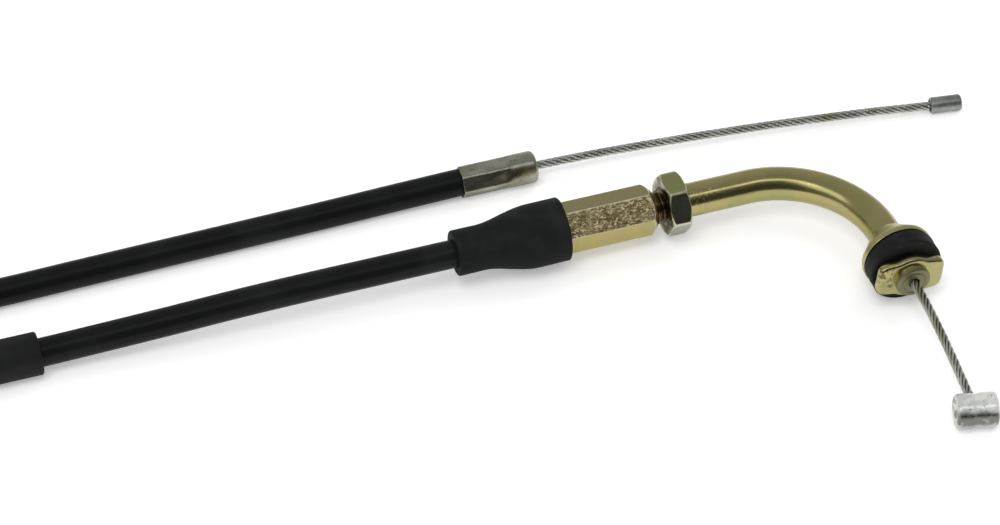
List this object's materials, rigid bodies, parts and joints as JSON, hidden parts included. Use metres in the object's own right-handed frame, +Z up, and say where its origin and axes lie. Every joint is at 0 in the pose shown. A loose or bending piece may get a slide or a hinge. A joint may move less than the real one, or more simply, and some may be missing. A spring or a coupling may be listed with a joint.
{
  "type": "throttle cable",
  "caption": "Throttle cable: bent guide pipe with screw adjuster, lock nut and boot at one end, crimped ferrule and bare wire at the other, spare conduit coiled.",
  "frame": {"origin": "on the table, under the middle of the throttle end's box, cord nodes left out", "axes": "+X along the bent pipe's threaded straight towards its elbow, -Y the way the throttle wire comes out, +Z up"},
  "size_m": [0.2963, 0.1108, 0.0131],
  "materials": {
    "cast_zinc": "die cast, satin, slightly pitted",
    "wire_steel": "stranded rope, drawn bright",
    "pipe_zinc": "yellow passivated zinc on drawn steel tube",
    "liner_plastic": "natural nylon",
    "flange_zinc": "yellow passivated zinc",
    "seal_rubber": "matte moulded rubber",
    "plate_zinc": "yellow passivated zinc, pressed and scuffed",
    "nut_zinc": "olive passivated zinc",
    "adjuster_zinc": "yellow passivated zinc, pitted on one face",
    "ferrule_nickel": "dull nickel, crimped",
    "boot_rubber": "soft matte rubber",
    "sleeve_rubber": "matte extruded rubber",
    "conduit_jacket": "satin extruded plastic",
    "tie_plastic": "soft plastic band"
  },
  "bodies": {
    "root": {"conduit_throttle_side": "conduit_jacket", "conduit_coil": "conduit_jacket", "coil_tie_1": "tie_plastic", "coil_tie_2": "tie_plastic", "coil_tie_3": "tie_plastic", "conduit_carburettor_side": "conduit_jacket", "protective_sleeve": "sleeve_rubber", "carburettor_ferrule": "ferrule_nickel", "conduit_end_cap": "ferrule_nickel"},
    "adjuster": {"adjuster": "adjuster_zinc"},
    "boot": {"rubber_boot": "boot_rubber"},
    "elbow": {"elbow_pipe": "pipe_zinc", "pipe_liner": "liner_plastic", "pipe_flange": "flange_zinc", "seal_washer": "seal_rubber", "key_plate": "plate_zinc"},
    "lock_nut": {"lock_nut": "nut_zinc"},
    "throttle_end": {"throttle_wire": "wire_steel", "barrel_nipple": "cast_zinc"},
    "carburettor_end": {"carburettor_wire": "wire_steel", "carburettor_nipple": "cast_zinc"}
  },
  "joints": [
    {"name": "adjuster_turn", "type": "hinge", "parent": "root", "child": "adjuster", "pos_m": [-0.012, 0.02917, 0.00655], "axis": [1, 0, 0], "range_deg": [-2880, 540]},
    {"name": "pipe_slide", "type": "slide", "parent": "root", "child": "elbow", "axis": [1, 0, 0], "range_m": [-0.0015, 0.008]},
    {"name": "lock_nut_turn", "type": "hinge", "parent": "elbow", "child": "lock_nut", "pos_m": [0.00072, 0.02917, 0.00655], "axis": [1, 0, 0], "range_deg": [-540, 360]},
    {"name": "boot_slide", "type": "slide", "parent": "root", "child": "boot", "axis": [-1, 0, 0], "range_m": [0, 0.025]},
    {"name": "throttle_pull", "type": "slide", "parent": "elbow", "child": "throttle_end", "axis": [0, -1, 0], "range_m": [-0.024, 0.07], "deforming": ["throttle_wire"]},
    {"name": "carburettor_pull", "type": "slide", "parent": "root", "child": "carburettor_end", "axis": [0.9969, -0.0781, 0], "range_m": [-0.07, 0.024], "deforming": ["carburettor_wire"]}
  ],
  "couplings": [
    {"joint": "adjuster_turn", "follows": "pipe_slide", "rad_per_m": -6283.2},
    {"joint": "carburettor_pull", "follows": "throttle_pull", "ratio": -1}
  ]
}
